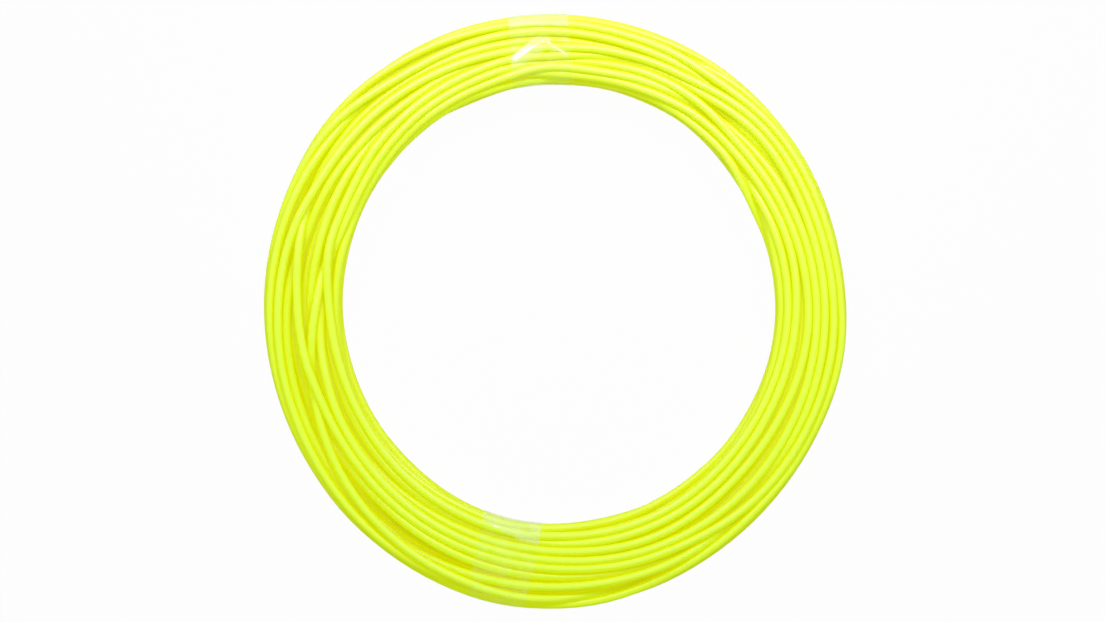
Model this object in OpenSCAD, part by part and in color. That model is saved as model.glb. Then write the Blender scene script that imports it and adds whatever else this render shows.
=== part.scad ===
// Coil of racket string: one unbroken length, wound in loops and bound by two bands of clear tape.
// Millimetres. The coil lies flat on z = 0, +Z is up, and its axis is the Z axis.

/* [String] */
// Diameter of the string
string_d = 1.3; // [1:0.05:1.7]
// Depth of the flat on the loops that lie on the ground
ground_flat = 0.13; // [0.05:0.01:0.2]

/* [Coil] */
// Radius of the open middle of the coil
hole_r = 34.1; // [26:0.1:60]
// Full loops, before the ends pass each other
full_loops = 23; // [9:1:23]
// Layers that the loops are piled in
layers = 4; // [2, 4]
// Gap between neighbouring loops of a layer
loop_gap = 0.8; // [0.45:0.01:1.5]
// Gap between a layer and the next one
layer_gap = 0.75; // [0.45:0.01:1.5]
// Direction of the string's lower end, counted from +X
start_angle = 236; // [0:1:359]

/* [Binding tape] */
// Width of the tape
tape_w = 9; // [4:0.5:12]
// Thickness of the film where it is wrapped twice
film_t = 0.1; // [0.06:0.01:0.2]
// Gap between the film and the string
film_gap = 0.05; // [0.02:0.01:0.1]
// Bend radius inside the film's corners
film_bend_r = 0.3; // [0.1:0.05:0.3]

/* [Hidden] */

string_color = "#e4fb3a";
film_color = [0.95, 0.97, 0.85, 0.45];

// The string is swept as a six-sided tube with a ring every 15 degrees.
sides = 6;
rings = 24;
step = 360 / rings;
string_r = string_d / 2;
side_r = string_r * cos(180 / sides);

// The ends pass each other by this many steps, with the front tape over the middle one.
end_steps = 3;
climb_turns = 0.5;
total_steps = full_loops * rings + end_steps;
layer_turns = (total_steps / rings - (layers - 1) * climb_turns) / layers;

loop_pitch = string_d + loop_gap;
layer_pitch = string_d + layer_gap;
inner_r = hole_r + string_r;
outer_r = inner_r + layer_turns * loop_pitch;
ground_z = side_r - ground_flat;
film_seat_z = film_t + film_gap;
top_z = ground_z + (layers - 1) * layer_pitch + side_r;

// Each tape lies across the straight stretch between one ring of every loop and the next.
front_step = 1;
back_step = 14;

// Where the string is after so many steps: its layer, then how far it has spiralled and climbed there.
function turns_in_layer(i) = i / rings - layer_of(i) * (layer_turns + climb_turns);
function layer_of(i) = min(floor(i / rings / (layer_turns + climb_turns)), layers - 1);
function spiral_share(i) = min(turns_in_layer(i) / layer_turns, 1);
function climb_share(i) = (1 - cos(180 * max(turns_in_layer(i) - layer_turns, 0) / climb_turns)) / 2;

// Even layers spiral in and odd layers spiral out again.
function centre_r(i) = layer_of(i) % 2 == 0
    ? outer_r - spiral_share(i) * (outer_r - inner_r)
    : inner_r + spiral_share(i) * (outer_r - inner_r);
function centre_z(i) = ground_z + (layer_of(i) + climb_share(i)) * layer_pitch;
function ring_angle(i) = start_angle + i * step;
function outward(i) = [cos(ring_angle(i)), sin(ring_angle(i)), 0];
function along(i) = [-sin(ring_angle(i)), cos(ring_angle(i)), 0];
function centre(i) = centre_r(i) * outward(i) + [0, 0, centre_z(i)];

// The rings on either side of a tape are cut flat above its film, and the rest of the ground layer at z = 0.
function meets_tape(i, tape_step) = let (s = i % rings) s == tape_step || s == tape_step + 1;
function floor_z(i) = meets_tape(i, front_step) || meets_tape(i, back_step) ? film_seat_z : 0;

// One ring of the tube, moved along the string by a run.
function ring(i, run) = [
    for (k = [0 : sides - 1])
        let (a = k * 360 / sides, p = centre(i) + run * along(i) + string_r * cos(a) * outward(i))
        [p.x, p.y, max(p.z + string_r * sin(a), floor_z(i))]
];

// Both ends run straight for one diameter past the last ring.
string_rings = concat(
    [ring(0, -string_d)],
    [for (i = [0 : total_steps]) ring(i, 0)],
    [ring(total_steps, string_d)]
);

// The narrowest gap, measured between the centres of the rings of different loops.
centres = [for (i = [0 : total_steps]) centre(i)];
centre_gaps = [
    for (i = [0 : total_steps], turn = [1 : full_loops], shift = [-1 : 1])
        let (j = i + turn * rings + shift)
        if (j <= total_steps) norm(centres[i] - centres[j])
];
echo(str("least gap of the string to itself: ", min(centre_gaps) - string_d, " mm"));
echo(str("string in the loops: ", total_steps / rings * PI * (inner_r + outer_r) / 1000, " m"));

// A closed tube through a list of rings, in triangles.
module tube(ring_list) {
    n = len(ring_list);
    last = (n - 1) * sides;
    points = [for (r = ring_list) for (p = r) p];
    walls = [
        for (i = [0 : n - 2], k = [0 : sides - 1])
            let (a = i * sides + k, b = i * sides + (k + 1) % sides)
            each [[a, b, b + sides], [a, b + sides, a + sides]]
    ];
    caps = [
        for (k = [1 : sides - 2])
            each [[0, k + 1, k], [last, last + k, last + k + 1]]
    ];
    polyhedron(points = points, faces = concat(walls, caps));
}

// A rectangle between two corners, with rounded corners.
module rounded_rectangle(low, high, r) {
    translate([low.x + r, low.y]) square([high.x - low.x - 2 * r, high.y - low.y]);
    translate([low.x, low.y + r]) square([high.x - low.x, high.y - low.y - 2 * r]);
    for (x = [low.x + r, high.x - r], y = [low.y + r, high.y - r])
        translate([x, y]) circle(r = r, $fn = 24);
}

// A band of film pulled straight round the loops. Inside the coil it makes room for their bend at its edges.
module tape(tape_step) {
    radii = [for (i = [0 : total_steps]) if (meets_tape(i, tape_step)) centre_r(i) * cos(step / 2)];
    past_straight = max(tape_w / 2 - inner_r * sin(step / 2), 0);
    low = [min(radii) - string_r - film_gap - past_straight * tan(step), film_t];
    high = [max(radii) + string_r + film_gap, top_z + film_gap];
    film = [film_t, film_t];

    rotate(ring_angle(tape_step + 0.5)) translate([0, tape_w / 2, 0]) rotate([90, 0, 0])
        linear_extrude(tape_w) difference() {
            rounded_rectangle(low - film, high + film, film_bend_r + film_t);
            rounded_rectangle(low, high, film_bend_r);
        }
}

module string_coil() {
    color(string_color) tube(string_rings);
}

module back_tape() {
    color(film_color) tape(back_step);
}

module front_tape() {
    color(film_color) tape(front_step);
}

string_coil();
back_tape();
front_tape();
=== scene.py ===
"""Coil of fluorescent racket string, wound loosely by hand and bound with two bands of clear tape.

Lengths are in millimetres until a piece is made, and directions are degrees counted from +X towards +Y.
"""
import math

import bpy
import numpy as np
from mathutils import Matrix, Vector


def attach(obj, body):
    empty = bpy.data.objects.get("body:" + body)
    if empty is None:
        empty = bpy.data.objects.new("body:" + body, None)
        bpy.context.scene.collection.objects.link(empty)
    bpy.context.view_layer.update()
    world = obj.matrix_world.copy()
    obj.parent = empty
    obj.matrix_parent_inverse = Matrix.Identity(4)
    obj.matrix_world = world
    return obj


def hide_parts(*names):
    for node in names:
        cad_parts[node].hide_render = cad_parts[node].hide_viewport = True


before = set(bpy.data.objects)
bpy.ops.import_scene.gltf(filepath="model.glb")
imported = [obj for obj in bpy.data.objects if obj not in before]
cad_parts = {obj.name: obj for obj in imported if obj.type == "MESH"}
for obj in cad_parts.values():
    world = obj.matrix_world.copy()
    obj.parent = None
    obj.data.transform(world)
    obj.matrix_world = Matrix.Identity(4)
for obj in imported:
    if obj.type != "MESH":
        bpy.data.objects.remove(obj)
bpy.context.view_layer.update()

MM = 0.001

# The string: one packaged set, with the gauge and the length that it is sold in. The loops take about 20 mm
# more, which is cut off at the start, and the cut ends have an edge this wide.
STRING_D = 1.3
STRING_R = STRING_D / 2
STRING_LENGTH = 12000.0
LOOPS = 47.3
STRING_SIDES = 16
END_EDGE = 0.12

# The outline of the bundle seen from above, every 30 degrees from direction 0, and its height.
INNER_EDGE = (34.8, 34.7, 35.7, 35.8, 35.2, 34.4, 33.7, 33.3, 33.7, 33.9, 34.2, 34.4)
OUTER_EDGE = (45.8, 45.8, 46.2, 46.5, 46.8, 46.5, 46.2, 46.3, 47.3, 47.6, 46.3, 45.9)
BUNDLE_H = 8.1

# The tapes: their directions and width, the film's thickness, its gap to the string and between its own
# layers, and about how much of it goes once round the bundle.
BACK_TAPE_AT = 93.5
FRONT_TAPE_AT = 258.5
TAPE_W = 9.4
FILM_T = 0.05
FILM_GAP = 0.03
LAYER_GAP = 0.02
FILM_ROUND = 35.0

# Where a strand of the face bulges out of the outline: direction, how far, and over how many degrees. And
# how far the front tape pulls the inner side of the bundle in.
BULGES = ((138, 0.9, 8), (351, 0.9, 7))
PULLED_IN = (FRONT_TAPE_AT, 0.45, 9)

# The camera looks straight down at the coil. The width of the image in pixels, and how many millimetres a
# pixel is at half the height of the bundle.
IMAGE_W = 1105
PIXEL = 0.1585
CAMERA_ABOVE = 600.0
CAMERA_AT = (-0.55, -0.48)
SEEN_HEIGHT = 4.0
SENSOR_W = 36.0


def srgb(hex_colour, alpha=1.0):
    """A colour written as on a screen, in the linear values that a shader takes."""
    parts = [int(hex_colour[i:i + 2], 16) / 255 for i in (1, 3, 5)]
    linear = [c / 12.92 if c <= 0.04045 else ((c + 0.055) / 1.055) ** 2.4 for c in parts]
    return (*linear, alpha)


def add_node(tree, kind, inputs=None, links=None, **settings):
    """Adds a node, sets its properties and inputs, and links other nodes' outputs into it."""
    node = tree.nodes.new(kind)
    for name, value in settings.items():
        setattr(node, name, value)
    for name, value in (inputs or {}).items():
        node.inputs[name].default_value = value
    for name, output in (links or {}).items():
        tree.links.new(output, node.inputs[name])
    return node


def new_material(name):
    """A material with an empty node tree but for its output."""
    material = bpy.data.materials.new(name)
    material.use_nodes = True
    material.node_tree.nodes.clear()
    return material


# ---------------------------------------------------------------- camera

def make_camera():
    """A camera straight above, with the frame measured at half the height of the bundle."""
    field_w = IMAGE_W * PIXEL
    camera = bpy.data.cameras.new("camera")
    camera.sensor_width = SENSOR_W
    camera.lens = SENSOR_W * CAMERA_ABOVE / field_w
    camera.clip_start = 0.01
    camera.clip_end = 20
    holder = bpy.data.objects.new("camera", camera)
    holder.location = (CAMERA_AT[0] * MM, CAMERA_AT[1] * MM, (CAMERA_ABOVE + SEEN_HEIGHT) * MM)
    bpy.context.scene.collection.objects.link(holder)
    bpy.context.scene.camera = holder


# ---------------------------------------------------------------- winding the string

# Stations are the directions at which the string's points lie and its strands are kept apart.
STATIONS = 120
DEGREES = 360 / STATIONS

# The last loops lie on top. Each is a route from one pass of the back tape to the next: points of direction
# and height, in steps of FACE_STEP strands, and then points of direction and radius. Before they start, the
# heap leads over to them for so many degrees.
FACE_STEP = 0.7
LEAD_OVER = 150
FACE_START = 93
STRING_END = 262
FACE_LOOPS = (
    (((120, 0.3), (300, 0.8)),
     ((93, 41.6), (125, 41.0), (150, 41.4), (165, 41.7), (180, 41.8), (195, 41.5), (205, 41.4),
                (215, 41.1), (230, 41.1), (244, 41.8), (258, 42.2), (272, 42.5), (287, 43.1), (300, 42.8),
                (320, 42.5), (340, 42.4), (360, 42.3), (400, 41.9), (413, 41.2), (426, 40.3), (440, 40.0))),
    (((120, 2.6), (300, 1.0)),
     ((93, 39.9), (107, 39.3), (119, 38.4), (130, 37.9), (142, 36.9), (152, 36.1), (165, 35.3),
                (190, 35.0), (220, 35.2), (258, 35.8), (282, 36.0), (320, 35.8), (340, 36.1), (360, 36.3),
                (380, 36.3), (395, 35.9), (430, 35.3), (445, 35.3))),
    (((120, 0.3), (300, 1.5)),
     ((110, 35.8), (140, 36.1), (160, 36.6), (200, 38.0), (240, 39.1), (258, 39.6), (272, 39.9),
                (280, 40.3), (290, 41.1), (320, 41.5), (340, 41.5), (360, 41.3), (378, 40.8), (398, 40.1),
                (412, 39.1), (420, 38.6), (430, 38.2), (444, 37.2))),
    (((120, 1.0), (300, 1.0)),
     ((100, 36.3), (112, 36.1), (130, 35.8), (150, 35.2), (190, 35.0), (258, 34.9), (300, 34.8),
                (330, 35.0), (350, 35.3), (390, 35.3), (444, 35.2))),
    (((120, 0.4), (300, 0.4)),
     ((110, 35.2), (150, 35.5), (180, 36.0), (220, 36.6), (258, 36.9), (290, 37.6), (330, 37.2),
                (360, 37.4), (378, 37.9), (390, 37.6), (400, 37.1), (420, 36.6), (444, 36.3))),
    (((120, -0.2), (300, 0.2), (425, 1.5)),
     ((102, 38.0), (112, 39.3), (120, 39.1), (150, 39.0), (170, 38.5), (200, 38.2), (270, 38.2),
                (281, 38.8), (294, 39.6), (310, 39.0), (320, 38.8), (340, 39.3), (360, 39.8), (380, 39.2),
                (400, 38.4), (420, 38.3), (440, 38.8))),
    (((120, 1.9), (200, 1.8), (300, 1.0), (340, -0.6), (400, -0.8), (430, 0.6)),
     ((93, 38.0), (100, 37.6), (110, 37.4), (120, 36.9), (132, 36.3), (145, 35.7), (155, 35.5),
                (168, 36.6), (178, 37.7), (190, 39.0), (200, 40.6), (213, 42.3), (224, 43.7), (238, 45.3),
                (258, 46.2), (270, 46.3), (280, 46.0), (290, 45.5), (300, 45.3), (320, 45.0), (360, 45.2),
                (405, 45.2), (412, 44.9), (420, 44.1), (430, 43.3), (440, 42.8))),
    (((120, 1.6), (200, 0.8), (300, 0.0), (400, 0.2)),
     ((93, 42.7), (102, 42.8), (115, 43.9), (125, 44.5), (140, 44.9), (165, 45.2), (200, 45.4),
                (220, 45.9), (240, 46.5), (258, 46.9), (270, 47.0), (290, 46.1), (310, 45.4), (330, 45.3),
                (349, 45.8), (360, 45.3), (375, 45.0), (400, 45.2), (440, 45.4))),
    (((120, 0.8), (300, -0.5)),
     ((100, 45.3), (115, 45.7), (130, 46.3), (140, 46.5), (150, 46.0), (165, 45.8), (200, 45.4),
                (240, 45.2), (270, 44.4), (300, 43.6), (340, 42.5), (360, 41.5), (400, 40.9))),
    (((120, 0.5), (300, 1.2)),
     ((93, 40.4), (105, 40.5), (120, 39.6), (128, 39.3), (137, 39.9), (148, 40.6), (157, 41.2),
                (165, 41.8), (172, 42.2), (180, 42.5), (200, 43.3), (210, 43.9), (220, 44.4), (240, 44.6),
                (258, 44.1), (270, 43.9), (282, 44.2), (300, 43.9), (340, 43.1), (360, 42.8), (390, 42.5),
                (420, 42.6), (440, 43.6))),
    (((120, 1.0), (200, 0.2), (300, -0.6), (400, -0.2)),
     ((93, 43.9), (118, 44.2), (135, 45.2), (150, 45.9), (165, 45.8), (200, 45.7), (230, 46.4),
                (250, 46.9), (270, 47.0), (290, 46.1), (310, 45.4), (330, 45.3), (349, 45.8), (360, 45.2),
                (380, 44.9), (405, 44.4), (425, 42.8), (440, 41.5))),
    (((120, 2.4), (300, 2.6)),
     ((93, 41.1), (105, 41.5), (117, 42.2), (130, 43.0), (145, 43.1), (153, 42.6), (161, 41.8),
                (170, 41.4), (180, 40.7), (190, 40.1), (200, 39.8), (215, 39.6), (235, 39.8), (250, 40.1),
                (272, 40.9), (282, 41.7), (291, 42.2), (300, 43.0), (308, 43.7), (316, 44.5), (330, 44.4),
                (345, 44.1), (360, 44.0), (400, 43.9), (408, 43.4), (418, 42.5), (430, 41.5), (440, 40.9))),
    (((120, 3.0), (200, 2.0), (262, 1.0)),
     ((93, 41.2), (102, 41.8), (130, 41.8), (142, 42.0), (150, 42.2), (157, 42.6), (162, 43.1),
                (168, 43.6), (180, 44.2), (200, 45.0), (214, 45.6), (230, 46.1), (262, 46.0))),
)
# How many times the string goes from side to side of the heap below the face and back. And how it strays
# from that: share of the way to the side, and over how many turns.
SWEEPS = 4.2
STRAYS = ((0.22, 0.16), (0.2, 0.6))

# How far below the bundle's top the heap ends and the face's heights start, before the string settles.
HEAP_TOP = 1.3
FACE_BASE = 1.2

# How square the bundle's section is: 2 is an ellipse.
ROUND = 4.0

# How much the film lifts the lowest strands, and how far on each side of a tape.
UNDER_TAPE = 0.2
LIFTED = 15

# How the face differs from the heap while the string settles. The heap's pull to its route, how much heavier
# the face is, and how stiff the wall is to the face's sides, the heap's sides, the top and the bottom.
HEAP_PULL = 0.003
FACE_WEIGHT = 1.5
WALL_FACE, WALL_HEAP, WALL_TOP, WALL_BOTTOM = 0.12, 0.5, 0.1, 0.6

# The rounds of settling: passes, how far along the string a push spreads, weight, and the face's pull to
# its route.
SETTLING = (
    (200, 8.0, 0.03, 0.20),
    (300, 5.0, 0.02, 0.10),
    (600, 3.0, 0.006, 0.05),
    (1200, 2.4, 0.002, 0.03),
    (1200, 1.8, 0.0005, 0.02),
    (1500, 1.5, 0.0, 0.02),
)


def smooth(values, reach):
    """Values along the string, spread over their neighbours."""
    half = int(3 * reach + 1)
    weights = np.exp(-0.5 * (np.arange(-half, half + 1) / reach) ** 2)
    return np.convolve(np.pad(values, (half, half), "edge"), weights / weights.sum(), "valid")


def wander(count, reach, dice):
    """A smooth random walk along the string, with a spread of one."""
    values = smooth(dice.standard_normal(count), reach)
    return values / values.std()


def round_the_coil(values, directions):
    """Values given every 30 degrees, joined by a smooth closed curve."""
    terms = np.fft.rfft(values) / len(values)
    turns = np.radians(directions)
    total = np.full(len(directions), terms[0].real)
    for order in range(1, len(terms)):
        share = 2 if order < len(values) / 2 else 1
        wave = terms[order].real * np.cos(order * turns) - terms[order].imag * np.sin(order * turns)
        total += share * wave
    return total


def degrees_from(direction, place):
    """How far a direction is from another one, from -180 to 180."""
    return (direction - place + 180) % 360 - 180


def near_tape(direction, tape_at):
    """1 at a tape, falling to 0 on either side of it."""
    return np.exp(-(np.abs(degrees_from(direction, tape_at)) / LIFTED) ** 4)


def bundle_sides(direction, face):
    """The middle of the bundle, and how far from it the string's centre line may go to either side."""
    inner = round_the_coil(INNER_EDGE, direction)
    outer = round_the_coil(OUTER_EDGE, direction)
    for bulge_at, bulge, over in BULGES:
        outer += np.where(face, bulge * np.exp(-(degrees_from(direction, bulge_at) / over) ** 2), 0)
    pull_at, pulled, over = PULLED_IN
    inner += pulled * np.exp(-(degrees_from(direction, pull_at) / over) ** 2)
    return (inner + outer) / 2, (outer - inner) / 2 - STRING_R


def heap_route(share, middle, reach):
    """The heap goes from side to side, straying a little. The first loops lie calmly on the ground."""
    dice = np.random.default_rng(1)
    sweep = 2 * np.abs(2 * (share * SWEEPS - np.floor(share * SWEEPS + 0.5))) - 1
    stray = sum(size * wander(len(share), turns * STATIONS, dice) for size, turns in STRAYS)
    stray *= np.minimum(share * 8, 1)
    return middle + reach * np.clip(0.9 * sweep + stray, -1, 1)


def face_routes():
    """The face loops joined end to end: directions that count on, radii, and heights in the heap."""
    at, radius, rank_at, rank = [], [], [], []
    for n, (heights, route) in enumerate(FACE_LOOPS):
        at += [direction + 360 * n for direction, _ in route]
        radius += [r for _, r in route]
        rank_at += [direction + 360 * n for direction, _ in heights]
        rank += [height for _, height in heights]
    return at, radius, rank_at, rank


def lay_string(direction, face, middle, reach):
    """Where the string goes before it settles, the heap first and the face on it: radius and height."""
    share = np.arange(len(direction)) / max(np.sum(~face), 1)
    heap_z = STRING_R + (BUNDLE_H - HEAP_TOP - STRING_D) * np.minimum(share, 1)
    at, radius, rank_at, rank = face_routes()
    face_r = smooth(np.interp(direction, at, radius), 1.2)
    face_z = BUNDLE_H - FACE_BASE + np.interp(direction, rank_at, rank) * FACE_STEP * STRING_D

    # The last stretch of the heap leads over to the face.
    joining = np.clip((direction - FACE_START + LEAD_OVER) / LEAD_OVER, 0, 1)
    joining = joining * joining * (3 - 2 * joining)
    route = heap_route(share, middle, reach) * (1 - joining) + face_r * joining
    return route, smooth(np.where(face, face_z, heap_z), 6)


def push_apart(grid_r, grid_z, one, other):
    """How far the strands that lie in each other move apart, sideways and up, for each pair of turns."""
    rows = len(grid_r) // STATIONS
    gap_r = grid_r.reshape(rows, STATIONS)[one] - grid_r.reshape(rows, STATIONS)[other]
    gap_z = grid_z.reshape(rows, STATIONS)[one] - grid_z.reshape(rows, STATIONS)[other]
    pair, station = np.nonzero((np.abs(gap_r) < STRING_D) & (np.abs(gap_z) < STRING_D))
    gap_r, gap_z = gap_r[pair, station], gap_z[pair, station]
    gap = np.hypot(gap_r, gap_z) + 1e-9
    push = 0.5 * np.maximum(1.003 * STRING_D - gap, 0) / gap
    a, b = one[pair] * STATIONS + station, other[pair] * STATIONS + station
    return [
        np.bincount(a, push * g, len(grid_r)) - np.bincount(b, push * g, len(grid_r))
        for g in (gap_r, gap_z)
    ]


def soft_wall(face, middle, reach, r, z):
    """A wall with rounded corners that holds the bundle in its outline: its push sideways and up."""
    across, up = (r - middle) / reach, (z - BUNDLE_H / 2) / (BUNDLE_H / 2 - STRING_R)
    past = np.minimum((np.abs(across) ** ROUND + np.abs(up) ** ROUND) ** (-1 / ROUND) - 1, 0)
    wall_r = np.where(face, WALL_FACE, WALL_HEAP) * past * (r - middle)
    wall_z = np.where(up > 0, WALL_TOP, WALL_BOTTOM) * past * (z - BUNDLE_H / 2)
    return wall_r, wall_z


def settle(direction, face, middle, reach, route, z):
    """Pushes the strands apart while weight and the wall keep them together. Returns radius and height."""
    ground = STRING_R + UNDER_TAPE * np.maximum(
        near_tape(direction, BACK_TAPE_AT), near_tape(direction, FRONT_TAPE_AT)
    )

    # Each row of the grid is a turn and each column a station, so strands meet only inside a column.
    first = int(round(direction[0] / DEGREES)) % STATIONS
    rows = math.ceil((len(direction) + first) / STATIONS)
    here = slice(first, first + len(direction))
    far_away = np.repeat(1e4 * np.arange(1, rows + 1), STATIONS)
    grid_r, grid_z = far_away.copy(), far_away.copy()
    one, other = np.triu_indices(rows, 1)

    # Moves are overstated, so that fewer passes do, and then smoothed, so that the bends stay gentle.
    r = route.copy()
    for passes, spread, weight, face_pull in SETTLING:
        pull = np.where(face, face_pull, HEAP_PULL)
        weight = np.where(face, FACE_WEIGHT * weight, weight)
        for _ in range(passes):
            grid_r[here], grid_z[here] = r, z
            move_r, move_z = push_apart(grid_r, grid_z, one, other)
            wall_r, wall_z = soft_wall(face, middle, reach, r, z)
            r = r + 1.5 * smooth(1.25 * move_r[here] + wall_r + pull * (route - r), spread)
            z = z + 1.5 * smooth(1.25 * move_z[here] + wall_z - weight, spread)
            # Rounded, so that the last digits of a machine's sums don't grow into another winding.
            r = np.round(0.9 * r + 0.1 * smooth(r, 1.5), 5)
            z = np.round(np.maximum(0.9 * z + 0.1 * smooth(z, 1.5), ground), 5)
    return r, z


def wind_string():
    """Lays the string loop on loop and settles it. Returns the points of its centre line."""
    count = int(round(LOOPS * STATIONS))
    end = STRING_END + 360 * (len(FACE_LOOPS) - 1)
    direction = end - (count - 1 - np.arange(count)) * DEGREES
    face = direction >= FACE_START
    middle, reach = bundle_sides(direction, face)
    route, z = lay_string(direction, face, middle, reach)
    r, z = settle(direction, face, middle, reach, route, z)

    # The length is exact when the string's first stretch, deep in the heap, is cut to it.
    turn = np.radians(direction)
    points = np.column_stack((r * np.cos(turn), r * np.sin(turn), z))
    steps = np.linalg.norm(np.diff(points, axis=0), axis=1)
    left = np.append(np.cumsum(steps[::-1])[::-1], 0)
    print("wound", round(left[0]), "mm, top at", round(z.max() + STRING_R, 2))
    return points[left <= STRING_LENGTH]


# ---------------------------------------------------------------- the string

def open_sky(points, surface, turn):
    """How much of the sky each point of the surface sees past the strands beside it: 1 is all of it. The
    underside sees as much again when the coil is turned over, so the better side counts. The string's
    material paints shade and highlight from it."""
    station = np.round(np.degrees(np.arctan2(points[:, 1], points[:, 0])) / DEGREES).astype(int) % STATIONS
    radius = np.hypot(points[:, 0], points[:, 1])
    seen = np.zeros(surface.shape[:2])
    for side in (1, -1):
        lean = (side * turn + math.pi / 2) % (2 * math.pi) - math.pi / 2
        for column in range(STATIONS):
            rings = np.nonzero(station == column)[0]
            ring_r = np.hypot(surface[rings, :, 0], surface[rings, :, 1])
            gap_r = radius[rings] - ring_r[:, :, None]
            gap_z = side * (points[rings, 2] - surface[rings, :, 2][:, :, None])
            half = np.arcsin(np.minimum(STRING_R / np.hypot(gap_r, gap_z), 1))
            rise = np.arctan2(gap_z, np.abs(gap_r)) + half
            own = np.eye(len(rings), dtype=bool)[:, None]
            right = np.where((gap_r > 0) & ~own, rise, 0).max(axis=2)
            left = np.where((gap_r <= 0) & ~own, rise, 0).max(axis=2)
            low = np.maximum(right, lean - math.pi / 2)
            high = math.pi - np.maximum(left, math.pi / 2 - lean)
            seen[rings] = np.maximum(seen[rings], (high - low) / math.pi)
    return seen


def make_string(points):
    """A round tube along the points, with cut ends, its length in V and its way round in U."""
    count = len(points)
    along = np.gradient(points, axis=0)
    along /= np.linalg.norm(along, axis=1)[:, None]
    out = points * (1, 1, 0)
    out -= np.sum(out * along, axis=1)[:, None] * along
    out /= np.linalg.norm(out, axis=1)[:, None]
    over = np.cross(out, along)
    turn = np.arange(STRING_SIDES) * 2 * math.pi / STRING_SIDES
    rings = points[:, None] + STRING_R * (
        np.cos(turn)[None, :, None] * out[:, None] + np.sin(turn)[None, :, None] * over[:, None]
    )
    # Kept as the attribute sky, from which the material paints shade into the gaps and flanks and a
    # highlight onto the open tops.
    sky = open_sky(points, rings, turn)

    # The cut ends have a small bevelled edge.
    inset = 1 - END_EDGE / STRING_R
    first = points[0] - END_EDGE * along[0] + (rings[0] - points[0]) * inset
    last = points[-1] + END_EDGE * along[-1] + (rings[-1] - points[-1]) * inset
    corners = np.concatenate((first[None], rings, last[None])).reshape(-1, 3)
    sky = np.concatenate((sky[:1], sky, sky[-1:])).ravel()
    run = np.append(0, np.cumsum(np.linalg.norm(np.diff(points, axis=0), axis=1)))
    run = np.concatenate(([-END_EDGE], run, [run[-1] + END_EDGE]))

    faces, uv = [], []
    for i in range(count + 1):
        for k in range(STRING_SIDES):
            n = (k + 1) % STRING_SIDES
            a, b = i * STRING_SIDES, (i + 1) * STRING_SIDES
            faces.append((a + k, a + n, b + n, b + k))
            u, v = k / STRING_SIDES, (k + 1) / STRING_SIDES
            uv += [(u, run[i]), (v, run[i]), (v, run[i + 1]), (u, run[i + 1])]
    end = (count + 1) * STRING_SIDES
    faces.append(tuple(range(STRING_SIDES))[::-1])
    faces.append(tuple(range(end, end + STRING_SIDES)))
    uv += [(k / STRING_SIDES, run[0]) for k in reversed(range(STRING_SIDES))]
    uv += [(k / STRING_SIDES, run[-1]) for k in range(STRING_SIDES)]

    mesh = bpy.data.meshes.new("string")
    mesh.from_pydata(corners * MM, [], faces)
    mesh.uv_layers.new(name="along").data.foreach_set("uv", np.array(uv).ravel())
    mesh.attributes.new("sky", "FLOAT", "POINT").data.foreach_set("value", sky)
    mesh.shade_smooth()
    string = bpy.data.objects.new("string", mesh)
    bpy.context.scene.collection.objects.link(string)
    return string


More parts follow.
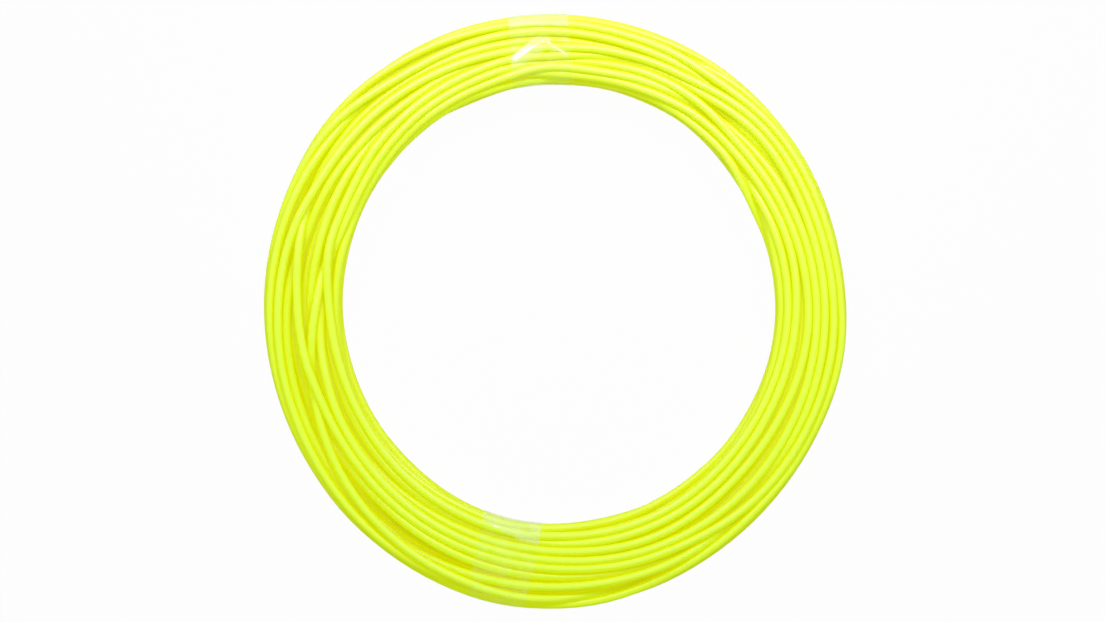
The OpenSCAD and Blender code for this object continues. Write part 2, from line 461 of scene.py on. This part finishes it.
def fluorescent_copolyester():
    """Extruded fluorescent monofilament: a satin skin over clear plastic that scatters light inside, with
    painted light on it. The open tops of the strands are painted pale as a highlight. The flanks and the
    gaps are painted dimmer and a deeper, warmer yellow as shade. The string glows yellow-green by Emission,
    a painted glow that stands in for its fluorescence and is weaker in the gaps."""
    material = new_material("extruded_fluorescent_copolyester")
    tree = material.node_tree
    # The attribute sky, how open each point is, masks the painted light: a highlight painted on the open
    # tops, and shade painted on the flanks and in the gaps.
    sky = add_node(tree, "ShaderNodeAttribute", attribute_name="sky")
    pale = add_node(tree, "ShaderNodeMapRange", {"From Min": 0.5, "From Max": 1.0},
                    {"Value": sky.outputs["Fac"]}, interpolation_type="SMOOTHSTEP")
    # This mask sets how the glow is painted weaker in the gaps and flanks.
    painted_glow_shade = add_node(tree, "ShaderNodeMapRange", {"From Min": 0.1, "From Max": 0.95},
                   {"Value": sky.outputs["Fac"]}, interpolation_type="SMOOTHSTEP")
    uv = add_node(tree, "ShaderNodeUVMap", uv_map="along")
    # The dye varies a little every few centimetres of string.
    stretch = add_node(tree, "ShaderNodeMapping", {"Scale": (2.0, 0.03, 1.0)}, {"Vector": uv.outputs["UV"]})
    drift = add_node(tree, "ShaderNodeTexNoise", {"Scale": 1.0, "Detail": 2.0},
                     {"Vector": stretch.outputs["Vector"]})
    # The paler colour of the open tops is a painted highlight; the drift between its two tones is the dye's
    # own.
    skin = add_node(tree, "ShaderNodeMix", {6: srgb("#B6CC64"), 7: srgb("#C0D670")},
                    {0: drift.outputs[0]}, data_type="RGBA")
    # The flanks and the gaps take a darker, more saturated colour, which is painted shade.
    colour = add_node(tree, "ShaderNodeMix", {6: srgb("#A6B024")},
                      {0: pale.outputs[0], 7: skin.outputs[2]}, data_type="RGBA")
    # The glow is Emission, a painted glow that stands in for fluorescence. In the gaps it is painted weaker
    # and warmer as shade, and on the open tops it is greener.
    glow = add_node(tree, "ShaderNodeMix", {6: srgb("#F2F400"), 7: srgb("#DBFF00")},
                    {0: painted_glow_shade.outputs[0]}, data_type="RGBA")
    strength = add_node(tree, "ShaderNodeMapRange", {"To Min": 0.43, "To Max": 0.72},
                        {"Value": painted_glow_shade.outputs[0]})
    # The die leaves lines along the skin, about 0.2 mm apart.
    lines = add_node(tree, "ShaderNodeMapping", {"Scale": (20.0, 0.05, 1.0)}, {"Vector": uv.outputs["UV"]})
    grain = add_node(tree, "ShaderNodeTexNoise", {"Scale": 1.0, "Detail": 3.0},
                     {"Vector": lines.outputs["Vector"]})
    bump = add_node(tree, "ShaderNodeBump", {"Strength": 0.15, "Distance": 0.00002},
                    {"Height": grain.outputs[0]})
    shader = add_node(tree, "ShaderNodeBsdfPrincipled",
                      {"Roughness": 0.4, "IOR": 1.57, "Specular IOR Level": 0.7, "Subsurface Weight": 0.5,
                       "Subsurface Radius": (1.0, 1.0, 0.4), "Subsurface Scale": 0.0005},
                      {"Base Color": colour.outputs[2], "Normal": bump.outputs["Normal"],
                       "Emission Color": glow.outputs[2], "Emission Strength": strength.outputs[0]})
    add_node(tree, "ShaderNodeOutputMaterial", links={"Surface": shader.outputs["BSDF"]})
    return material


# ---------------------------------------------------------------- the tapes

# Each tape is a strip from one end to the other, in turns round the bundle counted from the middle of its
# underside: 0.25 is the outer side, 0.5 the top and 0.75 the inner side. One end is cut askew, by so many
# turns from edge to edge, and over so many turns at that end the film is loose.
TAPES = (
    ("back_tape", BACK_TAPE_AT, 0.28, 1.389, -0.008, 0.085),
    ("front_tape", FRONT_TAPE_AT, 0.70, -0.383, -0.027, 0.14),
)
# Creases stand up in the film: tape, the two ends in turns and from -1 to 1 across, half the width, height.
CREASES = (
    ("back_tape", (0.549, 0.84), (0.474, -0.06), 1.1, 0.38),
    ("back_tape", (0.474, -0.20), (0.535, -0.82), 0.35, 0.12),
)
# Small waves keep the film off the strands by up to so much.
WAVE_H = 0.035

# How fine the film is: rows along the strip, columns across it, and places across it where its outline is
# worked out. It bridges hollows of up to so many places.
FILM_ROWS = 220
FILM_COLUMNS = 44
FILM_PLACES = 13
BRIDGED = 5


def tape_outlines(points, tape_at, across):
    """The taut outline of a film round the strands, for each place across the tape: (radius, height)."""
    turn = math.radians(tape_at)
    radial = points[:, 0] * math.cos(turn) + points[:, 1] * math.sin(turn)
    sideways = -points[:, 0] * math.sin(turn) + points[:, 1] * math.cos(turn)
    facing = np.radians(np.arange(0, 360, 0.5) - 90)
    reach = []
    for place in across:
        i = np.nonzero(((sideways[:-1] < place) != (sideways[1:] < place)) & (radial[:-1] > 0))[0]
        share = (place - sideways[i]) / (sideways[i + 1] - sideways[i])
        r = radial[i] + share * (radial[i + 1] - radial[i])
        z = points[i, 2] + share * (points[i + 1, 2] - points[i, 2])
        reach.append((r[:, None] * np.cos(facing) + z[:, None] * np.sin(facing)).max(axis=0))
    reach = np.array(reach) + STRING_R + FILM_GAP

    # The film is a flat strip, so it bridges small hollows from one place across it to another.
    taut = reach.copy()
    for one in range(len(across)):
        for other in range(one + 2, min(one + BRIDGED + 1, len(across))):
            for between in range(one + 1, other):
                share = (across[between] - across[one]) / (across[other] - across[one])
                chord = reach[one] + share * (reach[other] - reach[one])
                taut[between] = np.maximum(taut[between], chord)

    # A corner of the outline is where two neighbouring facing lines meet.
    step = facing[1] - facing[0]
    after = np.roll(taut, -1, axis=1)
    rise = (after - taut * math.cos(step)) / math.sin(step)
    return np.stack((
        taut * np.cos(facing) - rise * np.sin(facing),
        taut * np.sin(facing) + rise * np.cos(facing),
    ), axis=2)


def on_outline(outline, turns):
    """Points and outward directions at so many turns along a closed outline, from the middle of its base."""
    closed = np.vstack((outline, outline[:1]))
    run = np.append(0, np.cumsum(np.linalg.norm(np.diff(closed, axis=0), axis=1)))
    base = (outline[:, 0].min() + outline[:, 0].max()) / 2 - outline[0, 0]
    at = (turns * run[-1] + base) % run[-1]
    # The direction is taken over 0.8 mm of film, so that it turns gently at the corners.
    behind, point, ahead = (
        np.column_stack([np.interp((at + step) % run[-1], run, closed[:, k]) for k in (0, 1)])
        for step in (-0.4, 0, 0.4)
    )
    along = ahead - behind
    along /= np.linalg.norm(along, axis=1)[:, None]
    return point, np.column_stack((along[:, 1], -along[:, 0]))


def creases_at(name, turns, x):
    """How far a tape's creases stand off along the strip, at one place across it, and how loose they are."""
    off, free = np.zeros(len(turns)), np.zeros(len(turns))
    for tape, (turns_a, x_a), (turns_b, x_b), half, height in CREASES:
        if tape == name:
            # The nearest point of the crease's line, on the film rolled out flat.
            run, rise = (turns_b - turns_a) * FILM_ROUND, (x_b - x_a) * TAPE_W / 2
            u, v = (turns - turns_a) * FILM_ROUND, (x - x_a) * TAPE_W / 2
            share = np.clip((u * run + v * rise) / (run ** 2 + rise ** 2), 0, 1)
            far = np.hypot(u - share * run, v - share * rise) / half
            off += height * np.maximum(1 - far, 0)
            free = np.maximum(free, np.clip(1.3 - far, 0, 1))
    return off, free


def wrap_tape(points, name, tape_at, start, end, askew, loose):
    """A flat strip of film laid round the bundle, a little more than once, on top of its own first end."""
    bpy.ops.object.select_all(action="DESELECT")
    bpy.ops.mesh.primitive_grid_add(x_subdivisions=FILM_COLUMNS, y_subdivisions=FILM_ROWS, size=1)
    strip = bpy.context.object
    strip.name = name + "_film"

    places = np.linspace(-TAPE_W / 2, TAPE_W / 2, FILM_PLACES)
    outlines = tape_outlines(points, tape_at, places)
    radial = np.array((math.cos(math.radians(tape_at)), math.sin(math.radians(tape_at)), 0))
    sideways = np.array((-radial[1], radial[0], 0))
    place = np.zeros((FILM_ROWS + 1, FILM_COLUMNS + 1, 3))
    free = np.zeros((FILM_ROWS + 1, FILM_COLUMNS + 1))
    for column, x in enumerate(np.linspace(-1, 1, FILM_COLUMNS + 1)):
        last = end + askew * x
        turns = np.linspace(start, last, FILM_ROWS + 1)
        at = (x + 1) / 2 * (FILM_PLACES - 1)
        low = min(int(at), FILM_PLACES - 2)
        outline = outlines[low] * (low + 1 - at) + outlines[low + 1] * (at - low)
        point, out = on_outline(outline, turns)
        # The layers lie on each other, with small waves and creases, and the end lifts a little.
        off, creased = creases_at(name, turns, x)
        off += np.abs(turns - start) * (FILM_T + LAYER_GAP)
        off += WAVE_H * (1 + np.sin(2 * math.pi * (turns * 17 + 0.6 * x)) * np.cos(2.2 * x + 9 * turns)) / 2
        off[-1] += 0.02
        point = point + out * off[:, None]
        place[:, column] = (
            point[:, :1] * radial + x * TAPE_W / 2 * sideways + point[:, 1:] * np.array((0, 0, 1))
        )
        end_free = np.clip(1 - np.abs(turns - last) / loose, 0, 1) ** 0.5
        free[:, column] = np.maximum(end_free, creased)
    strip.data.vertices.foreach_set("co", (place * MM).ravel())
    strip.data.attributes.new("loose", "FLOAT", "POINT").data.foreach_set("value", free.ravel())
    if end > start:
        strip.data.flip_normals()
    wall = strip.modifiers.new("film", "SOLIDIFY")
    wall.thickness = FILM_T * MM
    wall.offset = 1
    bpy.ops.object.modifier_apply(modifier=wall.name)
    bpy.ops.object.shade_smooth_by_angle(angle=math.radians(50))
    return strip


def clear_polypropylene():
    """Cast clear polypropylene film with a glue layer: almost invisible where it is stuck down, and shiny
    and a little milky where it is loose, with air behind it. The milky part also has a faint painted glow."""
    material = new_material("clear_polypropylene_adhesive_film")
    tree = material.node_tree
    place = add_node(tree, "ShaderNodeTexCoord")
    loose = add_node(tree, "ShaderNodeAttribute", attribute_name="loose")
    # Patches of trapped air 0.5 to 2 mm wide.
    patches = add_node(tree, "ShaderNodeTexNoise", {"Scale": 700.0, "Detail": 3.0, "Roughness": 0.6},
                       {"Vector": place.outputs["Object"]})
    air = add_node(tree, "ShaderNodeMapRange", {"From Min": 0.35, "From Max": 0.75, "To Max": 0.05},
                   {"Value": patches.outputs[0]})
    haze = add_node(tree, "ShaderNodeMath", {1: 0.10}, {0: loose.outputs["Fac"], 2: air.outputs[0]},
                    operation="MULTIPLY_ADD")
    through = add_node(tree, "ShaderNodeBsdfTransparent", {"Color": srgb("#FDFEFC")})
    # The milky haze glows by Emission, a painted glow that stands in for the string's light scattered in it.
    adhesive_haze_and_painted_glow = add_node(tree, "ShaderNodeBsdfPrincipled",
                        {"Base Color": srgb("#F1F2EC"), "Roughness": 0.5, "IOR": 1.49,
                         "Emission Color": srgb("#FCFFE4"), "Emission Strength": 0.5})
    body = add_node(tree, "ShaderNodeMixShader",
                    links={0: haze.outputs[0], 1: through.outputs[0], 2: adhesive_haze_and_painted_glow.outputs[0]})
    # Loose film reflects about 4 % of light face on, and all film much more at a glancing angle.
    sheen = add_node(tree, "ShaderNodeMath", {1: 0.034, 2: 0.004}, {0: loose.outputs["Fac"]},
                     operation="MULTIPLY_ADD")
    facing = add_node(tree, "ShaderNodeLayerWeight", {"Blend": 0.5})
    glance = add_node(tree, "ShaderNodeMath", {1: 5.0}, {0: facing.outputs["Facing"]}, operation="POWER")
    mirror = add_node(tree, "ShaderNodeMath", {1: 0.12}, {0: glance.outputs[0], 2: sheen.outputs[0]},
                      operation="MULTIPLY_ADD")
    skin = add_node(tree, "ShaderNodeBsdfGlossy", {"Color": srgb("#FFFFFF"), "Roughness": 0.2})
    shader = add_node(tree, "ShaderNodeMixShader",
                      links={0: mirror.outputs[0], 1: body.outputs[0], 2: skin.outputs[0]})
    add_node(tree, "ShaderNodeOutputMaterial", links={"Surface": shader.outputs[0]})
    return material


# ---------------------------------------------------------------- floor and light

def studio_white():
    """Matt paper that fills the view with plain white and keeps a faint shadow."""
    material = new_material("matt_white_paper")
    tree = material.node_tree
    paper = add_node(tree, "ShaderNodeBsdfDiffuse", {"Color": srgb("#B8B8B8")})
    glow = add_node(tree, "ShaderNodeEmission", {"Color": srgb("#FFFFFF"), "Strength": 1.0})
    rays = add_node(tree, "ShaderNodeLightPath")
    # The camera sees nearly all of it as white, and 2 % of it as paper with the shadow on it.
    seen = add_node(tree, "ShaderNodeMath", {1: 0.98}, {0: rays.outputs["Is Camera Ray"]},
                    operation="MULTIPLY")
    mix = add_node(tree, "ShaderNodeMixShader",
                   links={0: seen.outputs[0], 1: paper.outputs[0], 2: glow.outputs[0]})
    add_node(tree, "ShaderNodeOutputMaterial", links={"Surface": mix.outputs[0]})
    return material


# Two softboxes behind the coil, with honeycombs that keep most of their light on the back: name, place and
# target in metres, width, watts, spread in degrees.
LAMPS = (
    ("back_left", (-0.16, 0.27, 0.32), (-0.02, 0.06, 0.0), 0.14, 0.052, 34),
    ("back_right", (0.15, 0.25, 0.32), (0.03, 0.06, 0.0), 0.14, 0.058, 34),
)


def make_studio():
    """A floor of white paper, an even pale sky, and the two softboxes."""
    bpy.ops.object.select_all(action="DESELECT")
    bpy.ops.mesh.primitive_plane_add(size=6)
    floor = bpy.context.object
    floor.name = "floor"
    floor.data.materials.append(studio_white())

    world = bpy.data.worlds.new("studio")
    bpy.context.scene.world = world
    world.use_nodes = True
    world.node_tree.nodes.clear()
    sky = add_node(world.node_tree, "ShaderNodeBackground", {"Color": srgb("#FFFFFF"), "Strength": 0.07})
    # Past the paper the view is plain white too.
    white = add_node(world.node_tree, "ShaderNodeBackground", {"Color": srgb("#FFFFFF"), "Strength": 1.0})
    rays = add_node(world.node_tree, "ShaderNodeLightPath")
    mix = add_node(world.node_tree, "ShaderNodeMixShader",
                   links={0: rays.outputs["Is Camera Ray"], 1: sky.outputs[0], 2: white.outputs[0]})
    add_node(world.node_tree, "ShaderNodeOutputWorld", links={"Surface": mix.outputs[0]})

    for name, place, target, size, watts, spread in LAMPS:
        lamp = bpy.data.lights.new(name, "AREA")
        lamp.shape = "DISK"
        lamp.size = size
        lamp.energy = watts
        lamp.spread = math.radians(spread)
        holder = bpy.data.objects.new(name, lamp)
        holder.location = place
        holder.rotation_euler = (Vector(target) - Vector(place)).to_track_quat("-Z", "Y").to_euler()
        bpy.context.scene.collection.objects.link(holder)


make_camera()
line = wind_string()
string = make_string(line)
string.data.materials.append(fluorescent_copolyester())
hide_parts("string_coil")
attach(string, "root")
film = clear_polypropylene()
for settings in TAPES:
    tape = wrap_tape(line, *settings)
    tape.data.materials.append(film)
    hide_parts(settings[0])
    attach(tape, "root")
make_studio()

bpy.context.scene.view_settings.view_transform = "Standard"
